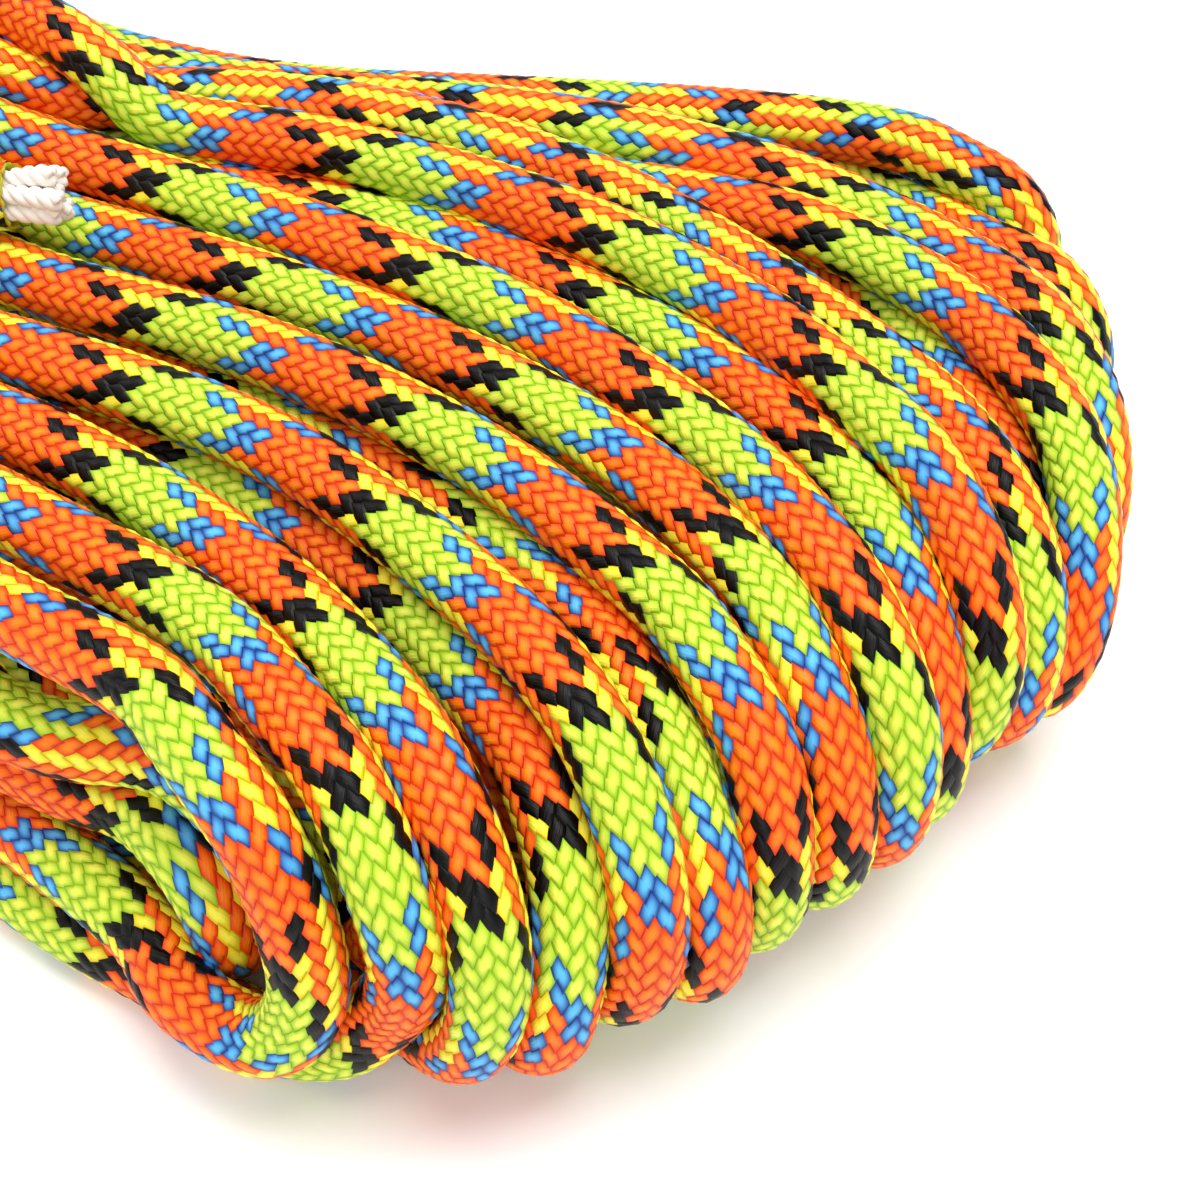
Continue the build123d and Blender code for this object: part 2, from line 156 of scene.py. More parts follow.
    (73.8, 15.1, 2.1), (67.2, 15.4, 3.1), (63.2, 16.2, 5.1), (59.1, 19.3, 4.0), (53.8, 18.8, 2.3),
    (50.2, 17.9, 2.3), (37.6, 13.0, 2.2), (29.5, 9.6, 2.5), (23.5, 5.4, 3.4), (16.0, 4.3, 3.8),
    (6.5, 2.7, 8.2), (-4.8, 2.0, 7.1), (-9.1, 1.3, 7.5), (-14.2, 2.0, 4.5), (-16.5, 4.1, 4.0),
    (-25.9, 8.3, 2.2), (-38.1, 15.9, 2.0), (-48.2, 17.1, 2.1), (-63.4, 16.8, 2.1), (-78.5, 16.0, 2.0),
    (-82.7, 14.9, 2.0), (-87.7, 13.2, 2.1), (-90.6, 11.7, 6.2), (-91.6, 11.3, 11.1), (-90.2, 10.7, 16.0),
    (-85.2, 10.7, 18.7), (-81.8, 11.0, 19.3), (-72.6, 12.2, 19.0), (-56.2, 12.8, 19.0), (-42.2, 12.6, 19.0),
    (-31.3, 8.7, 18.9), (-20.4, 3.4, 24.0), (-10.2, 1.5, 27.4), (1.7, 1.5, 26.8), (6.4, 1.7, 26.7),
    (11.0, 3.5, 27.9), (14.4, 7.3, 27.6), (17.4, 9.4, 24.3), (22.8, 11.0, 22.6), (28.1, 10.3, 22.0),
    (32.6, 9.8, 19.4), (36.0, 11.7, 18.7), (44.7, 14.4, 18.9), (60.6, 16.3, 18.7), (74.4, 14.5, 18.5),
    (85.7, 9.4, 18.8), (88.6, 7.6, 18.5), (92.9, 4.5, 16.5), (94.9, 2.4, 12.5), (94.3, 1.2, 7.4),
    (90.8, 3.0, 4.0), (87.0, 5.3, 2.2), (82.1, 8.3, 2.3), (68.1, 12.5, 2.0), (57.7, 12.7, 3.3),
    (42.9, 9.9, 5.4), (38.8, 9.0, 5.0), (33.4, 9.4, 5.2), (30.5, 6.7, 2.0), (26.4, 3.9, 2.0),
    (20.4, 1.4, 2.5), (9.3, -0.6, 6.3), (-3.9, -1.7, 6.3), (-12.1, -2.4, 6.4), (-17.6, -0.0, 4.8),
    (-26.9, 5.2, 2.0), (-39.2, 9.3, 2.0), (-52.0, 9.8, 3.8), (-68.0, 9.5, 3.9), (-80.3, 8.3, 2.0),
    (-83.4, 8.8, 2.0), (-89.2, 8.0, 2.7), (-91.4, 7.6, 7.5), (-90.1, 7.4, 12.3), (-85.2, 8.7, 15.1),
    (-81.8, 9.4, 15.6), (-72.8, 10.6, 15.4), (-56.5, 11.2, 15.4), (-42.3, 11.0, 15.3), (-30.4, 7.3, 15.3),
    (-20.0, 2.2, 20.3), (-7.1, -1.1, 21.4), (6.6, -1.9, 21.4), (14.2, 0.1, 21.0), (21.1, 4.5, 18.4),
    (33.6, 8.1, 15.8), (47.9, 12.5, 16.1), (62.2, 13.0, 16.2), (76.8, 10.4, 16.5), (86.1, 5.6, 16.3),
    (88.9, 3.0, 15.9), (92.6, -0.7, 13.9), (94.4, -2.5, 9.6), (93.4, -2.0, 4.5), (88.8, 0.5, 2.0),
    (86.0, 1.9, 2.0), (77.0, 6.7, 2.0), (61.5, 9.3, 2.0), (47.8, 9.1, 2.1), (36.5, 5.4, 2.0),
    (30.2, 3.0, 2.7), (24.1, -0.8, 5.2), (15.2, -3.0, 8.4), (4.9, -3.8, 12.2), (-7.4, -5.0, 11.5),
    (-16.0, -3.0, 9.7), (-27.1, 2.8, 4.8), (-41.3, 5.6, 2.0), (-55.7, 6.8, 2.0), (-71.7, 5.7, 2.0),
    (-81.4, 4.6, 2.3), (-84.9, 5.2, 3.4), (-89.6, 4.1, 6.2), (-91.1, 3.6, 11.0), (-89.7, 3.2, 15.9),
    (-85.0, 3.1, 18.9), (-81.3, 3.2, 19.7), (-72.8, 3.9, 19.4), (-56.6, 4.2, 19.5), (-42.0, 4.0, 19.2),
    (-29.3, 1.8, 19.7), (-20.0, -0.4, 24.6), (-7.5, -1.6, 24.4), (5.1, -2.6, 26.8), (13.6, -0.2, 26.3),
    (24.4, 2.4, 20.3), (34.6, 5.3, 18.6), (49.3, 6.6, 19.1), (64.1, 7.1, 18.9), (79.2, 3.1, 19.0),
    (86.2, -0.7, 19.1), (89.5, -2.7, 18.2), (93.3, -5.4, 15.3), (94.3, -6.7, 10.5), (93.0, -6.1, 5.7),
    (88.8, -3.6, 2.7), (85.6, -2.2, 2.0), (77.8, 2.4, 2.0), (62.9, 5.6, 2.1), (49.0, 5.5, 2.0),
    (36.9, 1.7, 2.5), (23.8, -0.6, 2.0), (13.4, -3.7, 2.8), (5.1, -4.5, 7.2), (-6.3, -5.9, 6.7),
    (-14.2, -5.5, 4.1), (-21.2, -1.3, 2.5), (-33.6, 0.9, 2.0), (-48.8, 2.6, 2.1), (-63.5, 2.8, 2.0),
    (-79.0, 0.9, 2.0), (-83.9, 1.4, 2.0), (-88.9, 1.5, 2.8), (-92.5, 0.8, 6.5), (-93.2, -0.0, 11.5),
    (-91.5, -0.9, 16.2), (-86.4, -1.3, 18.8), (-83.2, -1.3, 19.4), (-73.1, -0.8, 19.1), (-57.1, -0.6, 19.3),
    (-42.3, -0.6, 18.8), (-29.2, -2.1, 19.8), (-16.3, -4.5, 23.2), (-0.8, -5.4, 23.0), (12.7, -3.6, 24.2),
    (20.9, -2.3, 21.6), (30.3, 0.0, 17.4), (43.5, 1.4, 18.3), (58.8, 2.9, 18.0), (73.8, 0.9, 18.1),
    (83.7, -3.4, 18.2), (86.6, -5.5, 17.8), (90.8, -8.4, 15.5), (92.7, -10.3, 11.2), (92.0, -10.0, 6.1),
    (88.3, -7.8, 2.8), (84.4, -5.8, 2.0), (78.7, -2.6, 2.1), (63.9, 0.8, 2.1), (49.2, 0.4, 2.1),
    (33.9, -2.2, 2.0), (22.7, -4.5, 2.3), (12.4, -6.1, 7.8), (3.8, -7.5, 10.0), (-8.4, -8.1, 9.9),
    (-20.3, -5.1, 5.6), (-31.4, -3.2, 2.0), (-45.5, -2.6, 2.2), (-60.4, -2.6, 2.0), (-76.5, -2.8, 2.1),
    (-84.7, -3.0, 2.0), (-88.4, -3.2, 2.7), (-93.0, -3.7, 5.8), (-94.6, -3.6, 10.7), (-93.6, -5.6, 15.2),
    (-89.5, -6.6, 18.6), (-85.2, -7.0, 19.7), (-78.8, -7.0, 19.8), (-63.1, -7.0, 19.5), (-47.9, -7.0, 19.8),
    (-34.4, -7.0, 18.9), (-24.9, -6.8, 22.7), (-15.1, -6.1, 26.8), (-2.1, -8.6, 25.8), (13.1, -7.3, 24.5),
    (25.0, -6.5, 20.1), (36.0, -5.7, 18.5), (50.9, -3.3, 19.1), (66.1, -3.3, 18.7), (79.9, -6.7, 18.4),
    (83.6, -8.7, 18.3), (88.1, -11.1, 16.8), (90.6, -13.4, 13.1), (91.1, -14.4, 8.0), (88.4, -13.1, 3.7),
    (84.6, -10.6, 2.0), (79.5, -8.2, 2.0), (75.7, -10.0, 2.0), (66.2, -8.3, 2.1), (50.2, -7.6, 2.1),
    (35.8, -9.9, 2.1), (22.3, -9.1, 2.0), (11.7, -7.5, 4.0), (4.3, -8.2, 6.3), (-7.6, -10.0, 6.5),
    (-18.6, -7.9, 3.5), (-28.4, -9.7, 2.0), (-43.3, -11.9, 2.2), (-58.0, -11.9, 2.0), (-73.9, -11.3, 2.0),
    (-85.6, -11.1, 2.1), (-88.3, -10.9, 2.0), (-93.9, -9.1, 3.3), (-94.2, -7.2, 8.3), (-92.0, -7.9, 12.7),
    (-87.1, -8.4, 15.5), (-83.9, -8.6, 16.0), (-73.8, -8.8, 15.8), (-57.7, -8.8, 15.8), (-42.9, -8.8, 15.6),
    (-29.6, -8.3, 16.1), (-19.4, -7.0, 20.7), (-6.6, -9.0, 21.4), (8.7, -7.7, 21.5), (21.1, -6.5, 17.7),
    (32.7, -6.0, 14.3), (47.2, -4.9, 15.4), (62.3, -4.8, 15.2), (76.2, -8.0, 15.5), (82.3, -11.8, 15.7),
    (85.6, -14.4, 15.1), (89.3, -17.2, 12.2), (89.9, -18.3, 7.1), (86.9, -16.6, 3.2), (82.5, -14.1, 2.1),
    (78.5, -11.5, 4.2), (76.2, -7.2, 4.7), (71.2, -5.2, 2.6), (67.9, -4.7, 2.1), (55.2, -3.7, 2.1),
    (39.2, -5.1, 2.0), (28.8, -6.4, 2.8), (15.9, -8.9, 8.1), (6.9, -10.7, 12.6), (-1.7, -11.9, 12.4),
    (-14.7, -10.7, 8.9), (-28.1, -6.5, 4.7), (-39.3, -7.4, 2.0), (-53.5, -8.3, 2.1), (-69.6, -7.5, 2.0),
    (-80.8, -7.4, 2.0), (-84.0, -7.1, 2.5), (-89.0, -8.1, 5.0), (-91.9, -11.1, 7.7), (-94.7, -11.0, 12.0),
    (-92.2, -11.3, 16.8), (-87.1, -12.1, 19.0), (-84.0, -12.4, 19.5), (-71.9, -13.0, 19.6), (-56.2, -13.1, 19.4),
    (-41.3, -13.2, 19.0), (-28.7, -11.0, 20.1), (-16.6, -9.9, 25.3), (-3.0, -12.0, 27.6), (10.0, -10.9, 27.7),
    (22.2, -10.1, 21.8), (32.4, -12.3, 18.8), (43.1, -10.8, 19.6), (57.8, -8.9, 19.2), (73.2, -12.5, 19.4),
    (79.5, -15.1, 19.4), (83.3, -17.1, 18.4), (86.9, -19.6, 15.3), (88.1, -21.2, 10.7), (86.7, -21.1, 5.7),
    (82.4, -19.3, 2.6), (78.9, -17.8, 2.0), (71.6, -14.9, 2.1), (55.9, -11.9, 2.0), (40.8, -13.0, 2.2),
    (27.3, -13.7, 2.0), (17.2, -11.5, 3.7), (8.3, -10.7, 8.2), (3.0, -10.8, 8.8), (-5.1, -13.6, 8.0),
    (-18.4, -11.9, 4.5), (-29.6, -13.6, 2.0), (-44.3, -16.2, 2.2), (-58.9, -16.3, 2.0), (-75.1, -15.7, 2.0),
    (-84.3, -14.7, 2.0), (-87.6, -14.9, 2.1), (-92.7, -14.4, 5.0), (-93.3, -14.9, 10.1), (-90.4, -13.6, 14.2),
    (-85.1, -13.5, 15.6), (-81.4, -13.5, 15.7), (-66.7, -14.0, 15.6), (-51.5, -14.5, 15.7), (-36.9, -13.9, 15.0),
    (-25.0, -11.1, 17.8), (-12.3, -11.8, 22.4), (1.4, -12.4, 24.2), (12.5, -10.6, 22.7), (24.1, -10.3, 16.4),
    (36.0, -10.7, 15.3), (51.0, -10.3, 15.6), (66.7, -12.2, 15.6), (76.9, -16.3, 15.7), (79.7, -17.9, 15.6),
    (83.8, -21.3, 13.6), (85.2, -24.2, 9.9), (84.8, -25.3, 4.8), (79.8, -23.4, 2.0), (76.8, -21.9, 2.0),
    (68.3, -18.3, 2.0), (52.0, -15.5, 2.2), (38.4, -17.3, 2.0), (27.7, -16.1, 4.2), (17.6, -12.6, 7.4),
    (9.5, -14.2, 12.9), (3.1, -15.2, 14.6), (-6.2, -15.5, 13.3), (-18.2, -13.4, 8.4), (-28.1, -16.1, 4.3),
    (-40.4, -19.9, 2.0), (-53.9, -20.2, 2.2), (-70.3, -20.0, 2.0), (-80.8, -19.0, 2.0), (-84.0, -18.7, 2.4),
    (-89.1, -17.9, 5.0), (-90.8, -17.8, 9.7), (-90.2, -17.7, 14.8), (-86.4, -18.0, 18.5), (-81.8, -18.4, 19.7),
    (-76.3, -19.0, 19.6), (-60.7, -19.7, 19.4), (-45.6, -19.7, 19.6), (-33.1, -17.7, 19.0), (-23.9, -13.5, 22.6),
    (-14.8, -14.5, 26.1), (-0.8, -15.7, 26.4), (10.5, -14.3, 25.7), (21.9, -13.4, 19.9), (33.7, -16.5, 18.9),
    (48.0, -15.4, 19.4), (63.6, -16.9, 19.2), (73.7, -20.9, 19.5), (76.8, -22.4, 18.8), (81.1, -25.1, 16.4),
    (83.1, -27.0, 12.2), (82.6, -28.1, 7.3), (79.4, -27.1, 3.3), (74.7, -25.5, 2.0), (70.4, -23.7, 2.0),
    (56.4, -19.6, 2.0), (41.4, -20.6, 2.1), (30.1, -20.6, 2.0), (19.8, -15.4, 2.9), (9.9, -14.8, 7.5),
    (6.9, -14.1, 10.1), (1.6, -14.8, 10.4), (-2.7, -16.5, 10.1), (-15.0, -16.3, 6.5), (-22.8, -16.3, 2.5),
    (-30.9, -21.3, 2.0), (-44.3, -24.2, 2.0), (-58.9, -24.2, 2.0), (-75.1, -23.6, 2.0), (-82.0, -22.7, 2.0),
    (-86.1, -22.3, 2.8), (-90.3, -21.6, 6.1), (-91.4, -21.5, 11.1), (-90.0, -21.8, 16.0), (-85.5, -22.7, 19.0),
    (-81.7, -23.2, 19.8), (-73.7, -24.4, 19.6), (-57.3, -25.0, 19.6), (-43.3, -25.0, 19.5), (-30.7, -21.0, 19.7),
    (-21.3, -16.8, 23.0), (-10.3, -18.1, 23.3), (6.0, -19.0, 24.6), (12.2, -17.9, 25.8), (17.9, -16.4, 25.1),
    (22.2, -16.9, 22.1), (32.8, -20.0, 19.6), (46.9, -21.1, 19.9), (62.2, -20.9, 19.8), (70.4, -24.1, 20.0),
    (73.9, -25.3, 19.5), (78.1, -27.8, 16.8), (79.7, -28.7, 11.9), (77.8, -28.5, 7.4), (75.4, -29.8, 3.0),
    (70.4, -31.4, 2.0), (66.6, -30.9, 2.2), (57.2, -31.4, 2.0), (48.9, -30.4, 2.5), (35.3, -25.1, 3.3),
    (21.7, -20.6, 4.3), (15.0, -18.2, 6.7), (11.7, -17.4, 10.4), (6.4, -18.0, 12.4), (3.5, -18.7, 12.1),
    (-8.4, -20.3, 10.9), (-18.9, -19.1, 6.8), (-24.6, -21.4, 3.8), (-34.4, -26.7, 2.0), (-48.3, -28.5, 2.1),
    (-63.5, -29.0, 2.0), (-77.0, -27.6, 2.0), (-81.2, -26.5, 2.0), (-86.2, -26.2, 3.4), (-89.6, -25.8, 7.3),
    (-90.0, -26.4, 12.4), (-87.9, -27.5, 16.8), (-82.8, -28.8, 19.1), (-79.7, -29.4, 19.6), (-68.3, -31.1, 19.3),
    (-51.9, -31.4, 19.4), (-39.6, -30.6, 19.2), (-29.2, -24.6, 19.7), (-21.4, -21.0, 22.7), (-13.0, -21.4, 22.1),
    (3.0, -22.2, 21.6), (14.7, -20.2, 23.7), (22.6, -20.7, 22.2), (36.3, -24.5, 20.7), (52.2, -26.7, 20.9),
    (63.6, -26.4, 20.9), (66.8, -27.8, 20.8), (71.9, -29.3, 18.8), (74.4, -30.3, 14.6), (75.6, -31.4, 9.8),
    (73.4, -32.9, 5.4), (67.3, -33.0, 5.7), (64.6, -30.9, 6.1), (54.4, -29.8, 6.3), (39.8, -28.2, 6.8),
    (25.2, -23.0, 7.4), (15.3, -21.6, 8.8), (11.5, -21.9, 8.9), (6.9, -18.8, 9.0), (3.5, -15.3, 7.3),
    (6.3, -10.9, 5.7), (7.1, -9.1, 2.0), (7.0, -3.4, 2.2), (6.8, 1.6, 2.6), (6.6, 9.4, 6.4),
    (6.5, 12.6, 9.6), (6.5, 14.9, 14.3), (6.2, 15.2, 19.2), (6.1, 12.8, 23.9), (6.0, 9.6, 27.1),
    (5.8, 2.5, 31.1), (5.4, -9.4, 32.3), (5.1, -19.5, 29.0), (5.0, -23.5, 25.9), (4.8, -26.5, 21.9),
    (4.7, -27.7, 17.0), (4.5, -26.3, 11.9), (4.4, -23.8, 8.4), (4.1, -17.9, 3.7), (3.3, -9.1, 2.0),
    (3.1, 2.4, 3.1), (2.8, 9.4, 6.6), (2.8, 12.6, 10.0), (2.7, 14.9, 14.6), (2.4, 14.9, 19.7),
    (2.3, 12.4, 24.2), (2.2, 9.2, 27.5), (2.0, 1.7, 31.3), (1.5, -10.4, 32.2), (1.3, -20.0, 28.6),
    (1.1, -23.8, 25.6), (1.0, -26.8, 21.5), (0.8, -27.6, 16.5), (0.6, -26.2, 11.6), (0.5, -23.0, 7.8),
    (0.3, -18.5, 4.6), (-0.3, -7.5, 2.0), (-0.5, 4.0, 3.4), (-0.8, 9.9, 7.1), (-0.9, 13.1, 10.7),
    (-1.0, 15.1, 15.4), (-1.2, 14.6, 20.5), (-1.3, 12.0, 24.8), (-1.5, 8.2, 28.2), (-1.7, 0.0, 31.7),
    (-2.3, -12.4, 31.8), (-2.5, -20.8, 28.0), (-2.7, -24.4, 24.9), (-2.8, -27.1, 20.5), (-3.0, -27.6, 15.5),
    (-3.2, -25.6, 10.7), (-3.3, -22.5, 7.3), (-3.6, -16.6, 3.5), (-4.0, -4.9, 2.0), (-4.2, 5.7, 4.2),
    (-4.4, 10.8, 7.9), (-4.5, 13.7, 11.7), (-4.7, 15.3, 16.6), (-4.9, 14.1, 21.6), (-5.0, 11.3, 25.5),
    (-5.2, 6.7, 29.2), (-5.4, -3.0, 32.3), (-6.4, -15.0, 30.9), (-6.4, -21.9, 27.2), (-6.6, -25.1, 23.9),
    (-6.7, -27.4, 19.3), (-6.9, -27.3, 14.3), (-7.1, -24.9, 9.7), (-7.2, -21.6, 6.5), (-7.5, -14.0, 2.6),
    (-7.9, -1.8, 2.0), (-8.0, 7.4, 5.1), (-8.3, 11.6, 8.6), (-8.3, 14.4, 12.7), (-8.6, 15.4, 17.7),
    (-8.7, 13.6, 22.6), (-8.8, 10.9, 26.3), (-9.0, 4.7, 30.1), (-9.2, -0.4, 31.4), (-9.1, -5.3, 31.9),
    (-10.2, -9.4, 28.1), (-13.5, -12.6, 31.0), (-18.6, -11.7, 30.5), (-20.9, -7.0, 29.6), (-19.4, -2.0, 28.5),
    (-13.4, -1.2, 28.1), (-10.8, -3.2, 27.9), (-1.0, -5.0, 28.1), (14.1, -7.4, 28.3), (22.3, -8.5, 25.3),
    (30.1, -6.4, 22.6), (34.4, -3.6, 22.8),
]

# Where the pattern and the roll of the cord lie along it: (distance in mm,
# pattern repeats, roll in turns).
PHASE = [
    (0.00, 0.0000, 0.0000),
    (2760.76, 157.8705, 0.1526),
    (2800.76, 160.1562, 0.1526),
    (2840.76, 162.4420, 0.1526),
    (3194.75, 182.9491, 0.1110),
    (3202.75, 183.4062, 0.1110),
    (3210.75, 183.8634, 0.1110),
    (3570.75, 204.4031, 0.0393),
    (3590.15, 205.4295, -0.0513),
    (3609.55, 206.4560, -0.1068),
    (3999.94, 228.8692, -0.1201),
    (4018.34, 229.8428, -0.1155),
    (4036.74, 230.8163, -0.1888),
    (4853.93, 277.9236, -0.1498),
    (4861.53, 278.3899, -0.1871),
    (4869.13, 278.8561, -0.2244),
    (5213.52, 298.5261, -0.1910),
    (5248.12, 300.4520, -0.2248),
    (5282.72, 302.3779, -0.3163),
    (5643.51, 322.8335, -0.3631),
    (5666.51, 324.0504, -0.3589),
    (5689.51, 325.2673, -0.4731),
    (6031.91, 344.4502, -0.4009),
    (6063.11, 346.1293, -0.4091),
    (6094.31, 347.8084, -0.4847),
    (6437.10, 366.9494, -0.4742),
    (6463.30, 368.4272, -0.5130),
    (6489.50, 369.9050, -0.6295),
    (6838.70, 389.9732, -0.5556),
    (6867.70, 391.6709, -0.6161),
    (6896.70, 393.3686, -0.6977),
    (7635.48, 435.9838, -0.6965),
    (7660.28, 437.4364, -0.7182),
    (7685.08, 438.8890, -0.7886),
    (8040.68, 458.8561, -0.7230),
    (8056.68, 459.8330, -0.7326),
    (8072.68, 460.8099, -0.8578),
    (8415.47, 480.3821, -0.8032),
    (8435.67, 481.6000, -0.8351),
    (8455.87, 482.8179, -0.8720),
    (8797.07, 501.9787, -0.8497),
    (8812.47, 502.9234, -0.9265),
    (8827.87, 503.8682, -0.8544),
    (9174.26, 523.5964, -0.4561),
    (9189.46, 524.5289, -0.4657),
    (9204.66, 525.4614, -0.3543),
    (9881.45, 564.1351, -0.3543),
]

CAM_POS = (113.10, -65.75, 93.70)


# ---------------------------------------------------------------- helpers
def deselect():
    for o in bpy.context.selected_objects:
        o.select_set(False)


def new_mesh(name, verts, faces, smooth=True):
    me = bpy.data.meshes.new(name)
    me.from_pydata([tuple(v) for v in verts], [], faces)
    me.update()
    if smooth:
        me.polygons.foreach_set("use_smooth", [True] * len(me.polygons))
    ob = bpy.data.objects.new(name, me)
    bpy.context.collection.objects.link(ob)
    return ob


def nurbs_line(points_mm, name="line", res=14):
    """The smooth line of a NURBS spline through the route's control points, in metres."""
    cu = bpy.data.curves.new(name, "CURVE")
    cu.dimensions = "3D"
    sp = cu.splines.new("NURBS")
    sp.points.add(len(points_mm) - 1)
    for p, c in zip(sp.points, points_mm):
        p.co = (c[0] * MM, c[1] * MM, c[2] * MM, 1.0)
    sp.order_u = 3
    sp.use_endpoint_u = True
    sp.resolution_u = res
    ob = bpy.data.objects.new(name, cu)
    bpy.context.collection.objects.link(ob)
    me = bpy.data.meshes.new_from_object(ob)
    co = np.empty(len(me.vertices) * 3)
    me.vertices.foreach_get("co", co)
    co = co.reshape(-1, 3)
    bpy.data.objects.remove(ob)
    bpy.data.curves.remove(cu)
    bpy.data.meshes.remove(me)
    keep = np.r_[True, np.linalg.norm(np.diff(co, axis=0), axis=1) > 1e-7]
    return co[keep]


def arclength(p):
    return np.r_[0.0, np.cumsum(np.linalg.norm(np.diff(p, axis=0), axis=1))]


def resample(p, step):
    s = arclength(p)
    n = max(int(round(s[-1] / step)), 4)
    u = np.linspace(0, s[-1], n + 1)
    return u, np.stack([np.interp(u, s, p[:, i]) for i in range(3)], 1)


def transport(p, up=(0, 0, 1)):
    """Tangents and twist-free side vectors along a line."""
    t = np.gradient(p, axis=0)
    t /= np.linalg.norm(t, axis=1, keepdims=True)
    n = np.empty_like(t)
    v = np.cross(np.cross(t[0], up), t[0])
    if np.linalg.norm(v) < 1e-6:
        v = np.cross(np.cross(t[0], (1, 0, 0)), t[0])
    n[0] = v / np.linalg.norm(v)
    for i in range(1, len(p)):
        v = n[i - 1] - t[i] * float(np.dot(n[i - 1], t[i]))
        n[i] = v / math.sqrt(float(np.dot(v, v)))
    return t, n, np.cross(t, n)


# ---------------------------------------------------------------- materials
def srgb(h):
    h = h.lstrip("#")
    c = [int(h[i:i + 2], 16) / 255 for i in (0, 2, 4)]
    return tuple(x / 12.92 if x <= 0.04045 else ((x + 0.055) / 1.055) ** 2.4 for x in c) + (1.0,)


class Nodes:
    """Short hand for building a node tree."""

    def __init__(self, mat):
        mat.use_nodes = True
        self.t = mat.node_tree
        self.t.nodes.clear()
        self.out = self.t.nodes.new("ShaderNodeOutputMaterial")
        self.bsdf = self.t.nodes.new("ShaderNodeBsdfPrincipled")
        self.t.links.new(self.bsdf.outputs[0], self.out.inputs[0])

    def link(self, a, b):
        self.t.links.new(a, b)

    def m(self, op, a, b=None, c=None, clamp=False):
        n = self.t.nodes.new("ShaderNodeMath")
        n.operation = op
        n.use_clamp = clamp
        for i, v in enumerate((a, b, c)):
            if v is None:
                continue
            if isinstance(v, (int, float)):
                n.inputs[i].default_value = v
            else:
                self.link(v, n.inputs[i])
        return n.outputs[0]

    def mix(self, f, a, b, mode="MIX"):
        n = self.t.nodes.new("ShaderNodeMix")
        n.data_type = "RGBA"
        n.blend_type = mode
        ins = [s for s in n.inputs if s.enabled]
        fac = n.inputs[0]
        A = n.inputs[6]
        B = n.inputs[7]
        for s, v in ((fac, f), (A, a), (B, b)):
            if isinstance(v, (int, float)):
                s.default_value = v
            elif isinstance(v, tuple):
                s.default_value = v
            else:
                self.link(v, s)
        return n.outputs[2]


# Each carrier's colour, then a lighter copy of it that is painted on the crown of each float as a highlight.
ORANGE = srgb("#EC3202")
ORANGE_PAINTED_HIGHLIGHT = srgb("#FF8A1C")
LIME = srgb("#94C80E")
LIME_PAINTED_HIGHLIGHT = srgb("#EAF05A")
YELLOW = srgb("#F4CE02")
YELLOW_PAINTED_HIGHLIGHT = srgb("#FFFA50")
BLUE = srgb("#122C8C")
BLUE_PAINTED_HIGHLIGHT = srgb("#5CBAF0")
BLACK = srgb("#000000")
BLACK_PAINTED_HIGHLIGHT = srgb("#060302")


